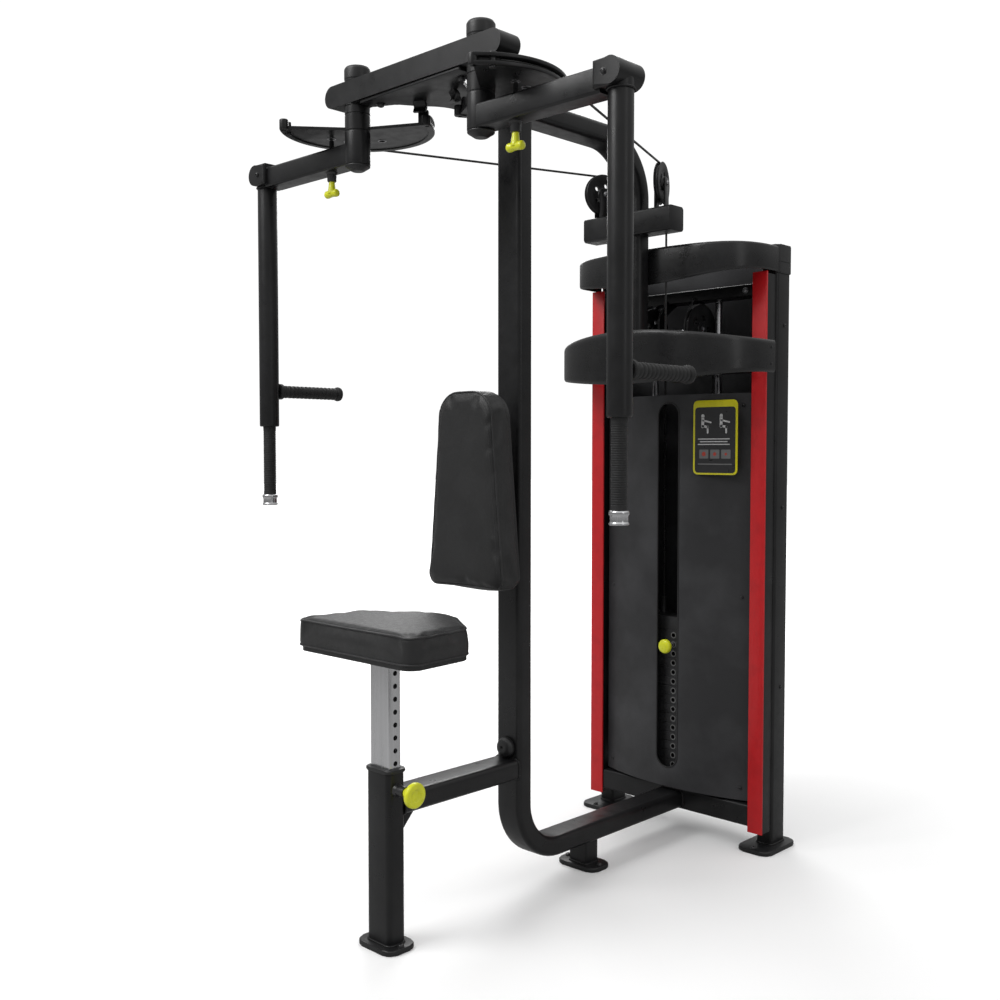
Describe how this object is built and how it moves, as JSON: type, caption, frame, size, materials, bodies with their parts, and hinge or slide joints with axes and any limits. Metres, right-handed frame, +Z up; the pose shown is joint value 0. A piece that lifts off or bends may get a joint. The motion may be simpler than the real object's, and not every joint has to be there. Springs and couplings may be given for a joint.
{
  "type": "pec deck machine",
  "caption": "Seated pec fly and rear delt machine: two swinging arms on cams pull cables over pulleys to a weight stack in a tower, with an adjustable seat and a back pad.",
  "frame": {"origin": "middle of the machine's box at floor level", "axes": "+Z up, the seat faces -Y, the weight tower stands at +Y, +X is to the right seen from the seat's front, and the machine is symmetric about X = 0"},
  "size_m": [1.21, 1.36, 2.006],
  "materials": {
    "frame_paint": "black semi-gloss powder coat",
    "pivot_paint": "black semi-gloss powder coat",
    "panel_paint": "dark grey satin paint",
    "cover_plastic": "moulded black plastic, satin",
    "red_trim": "red strip, semi-gloss",
    "yellow_plastic": "yellow knob, semi-gloss",
    "sign_print": "printed sign with a yellow border",
    "upholstery": "black artificial leather",
    "grip_rubber": "black rubber",
    "chrome_tube": "chromed steel",
    "bright_steel": "ground steel rod",
    "plate_iron": "black painted weight plates",
    "cable_coat": "black coated steel cable"
  },
  "bodies": {
    "frame": {"mast_tube": "frame_paint", "rear_top_tube": "frame_paint", "crossbar": "frame_paint", "crossbar_bracket": "frame_paint", "seat_rail": "frame_paint", "seat_sleeve": "frame_paint", "back_pad_plate": "frame_paint", "base_beam": "frame_paint", "mid_beam": "frame_paint", "top_beam": "frame_paint", "pulley_bracket": "frame_paint", "column_left": "frame_paint", "column_right": "frame_paint", "pivot_shaft_left": "pivot_paint", "pivot_shaft_right": "pivot_paint", "front_panel": "panel_paint", "rear_panel": "panel_paint", "seat_collar": "cover_plastic", "seat_foot": "cover_plastic", "mast_foot": "cover_plastic", "top_shroud": "cover_plastic", "belt_shroud": "cover_plastic", "column_cap_left": "cover_plastic", "column_cap_right": "cover_plastic", "tower_foot_left": "cover_plastic", "tower_foot_right": "cover_plastic", "red_strip_left": "red_trim", "red_strip_right": "red_trim", "placard": "sign_print", "back_pad": "upholstery", "guide_rod_left": "bright_steel", "guide_rod_right": "bright_steel", "lower_weight_plates": "plate_iron", "cable_left": "cable_coat", "cable_right": "cable_coat"},
    "left_cam": {"cam_left": "frame_paint"},
    "right_cam": {"cam_right": "frame_paint"},
    "left_arm": {"arm_beam_left": "frame_paint", "arm_tube_left": "frame_paint", "hand_tube_left": "grip_rubber", "rear_grip_left": "grip_rubber"},
    "right_arm": {"arm_beam_right": "frame_paint", "arm_tube_right": "frame_paint", "hand_tube_right": "grip_rubber", "rear_grip_right": "grip_rubber"},
    "left_index_pin": {"rom_pin_left": "yellow_plastic"},
    "right_index_pin": {"rom_pin_right": "yellow_plastic"},
    "weight_stack": {"head_plate": "plate_iron", "lifted_plates": "plate_iron", "selector_rod": "bright_steel", "lift_cable_left": "cable_coat", "lift_cable_right": "cable_coat"},
    "selector": {"selector_pin": "yellow_plastic"},
    "seat": {"seat_post": "chrome_tube", "seat_pad": "upholstery"},
    "seat_lock": {"seat_pin": "yellow_plastic"},
    "left_top_pulley": {"top_pulley_left": "cover_plastic"},
    "right_top_pulley": {"top_pulley_right": "cover_plastic"},
    "redirect_pulley_pair": {"redirect_pulleys": "cover_plastic"},
    "tower_pulley_pair": {"tower_pulleys": "cover_plastic"}
  },
  "joints": [
    {"name": "stack_lift", "type": "slide", "parent": "frame", "child": "weight_stack", "axis": [0, 0, 1], "range_m": [0, 0.27], "deforming": ["lift_cable_left", "lift_cable_right"]},
    {"name": "cam_left_swing", "type": "hinge", "parent": "frame", "child": "left_cam", "pos_m": [-0.206, -0.486, 1.87], "axis": [0, 0, 1], "range_deg": [0, 90]},
    {"name": "cam_right_swing", "type": "hinge", "parent": "frame", "child": "right_cam", "pos_m": [0.206, -0.486, 1.87], "axis": [0, 0, -1], "range_deg": [0, 90]},
    {"name": "arm_left_index", "type": "hinge", "parent": "left_cam", "child": "left_arm", "pos_m": [-0.206, -0.486, 1.805], "axis": [0, 0, 1], "range_deg": [-75, 15]},
    {"name": "arm_right_index", "type": "hinge", "parent": "right_cam", "child": "right_arm", "pos_m": [0.206, -0.486, 1.805], "axis": [0, 0, -1], "range_deg": [-75, 15]},
    {"name": "index_pin_left_pull", "type": "slide", "parent": "left_arm", "child": "left_index_pin", "axis": [0, 0, -1], "range_m": [0, 0.012], "stiffness_N_per_m": 500, "springref_m": -0.012},
    {"name": "index_pin_right_pull", "type": "slide", "parent": "right_arm", "child": "right_index_pin", "axis": [0, 0, -1], "range_m": [0, 0.012], "stiffness_N_per_m": 500, "springref_m": -0.012},
    {"name": "selector_pull", "type": "slide", "parent": "weight_stack", "child": "selector", "axis": [0, -1, 0], "range_m": [0, 0.1]},
    {"name": "seat_height", "type": "slide", "parent": "frame", "child": "seat", "axis": [0, 0, 1], "range_m": [-0.18, 0.06]},
    {"name": "seat_lock_pull", "type": "slide", "parent": "frame", "child": "seat_lock", "axis": [1, 0, 0], "range_m": [0, 0.012], "stiffness_N_per_m": 500, "springref_m": -0.01},
    {"name": "top_pulley_left_turn", "type": "hinge", "parent": "frame", "child": "left_top_pulley", "pos_m": [-0.1, 0.3, 1.82], "axis": [0.9385, -0.3454, 0], "range_deg": [0, 310]},
    {"name": "top_pulley_right_turn", "type": "hinge", "parent": "frame", "child": "right_top_pulley", "pos_m": [0.1, 0.3, 1.82], "axis": [0.9385, 0.3454, 0], "range_deg": [0, 310]},
    {"name": "redirect_pulleys_turn", "type": "hinge", "parent": "frame", "child": "redirect_pulley_pair", "pos_m": [0, 0.39692, 1.35], "axis": [-1, 0, 0], "range_deg": [0, 310]},
    {"name": "tower_pulleys_turn", "type": "hinge", "parent": "frame", "child": "tower_pulley_pair", "pos_m": [0, 0.51192, 1.45], "axis": [1, 0, 0], "range_deg": [0, 240]}
  ],
  "couplings": [
    {"joint": "cam_left_swing", "follows": "stack_lift", "rad_per_m": 5.814},
    {"joint": "cam_right_swing", "follows": "stack_lift", "rad_per_m": 5.814},
    {"joint": "top_pulley_left_turn", "follows": "stack_lift", "rad_per_m": 20},
    {"joint": "top_pulley_right_turn", "follows": "stack_lift", "rad_per_m": 20},
    {"joint": "redirect_pulleys_turn", "follows": "stack_lift", "rad_per_m": 20},
    {"joint": "tower_pulleys_turn", "follows": "stack_lift", "rad_per_m": 15.385}
  ]
}
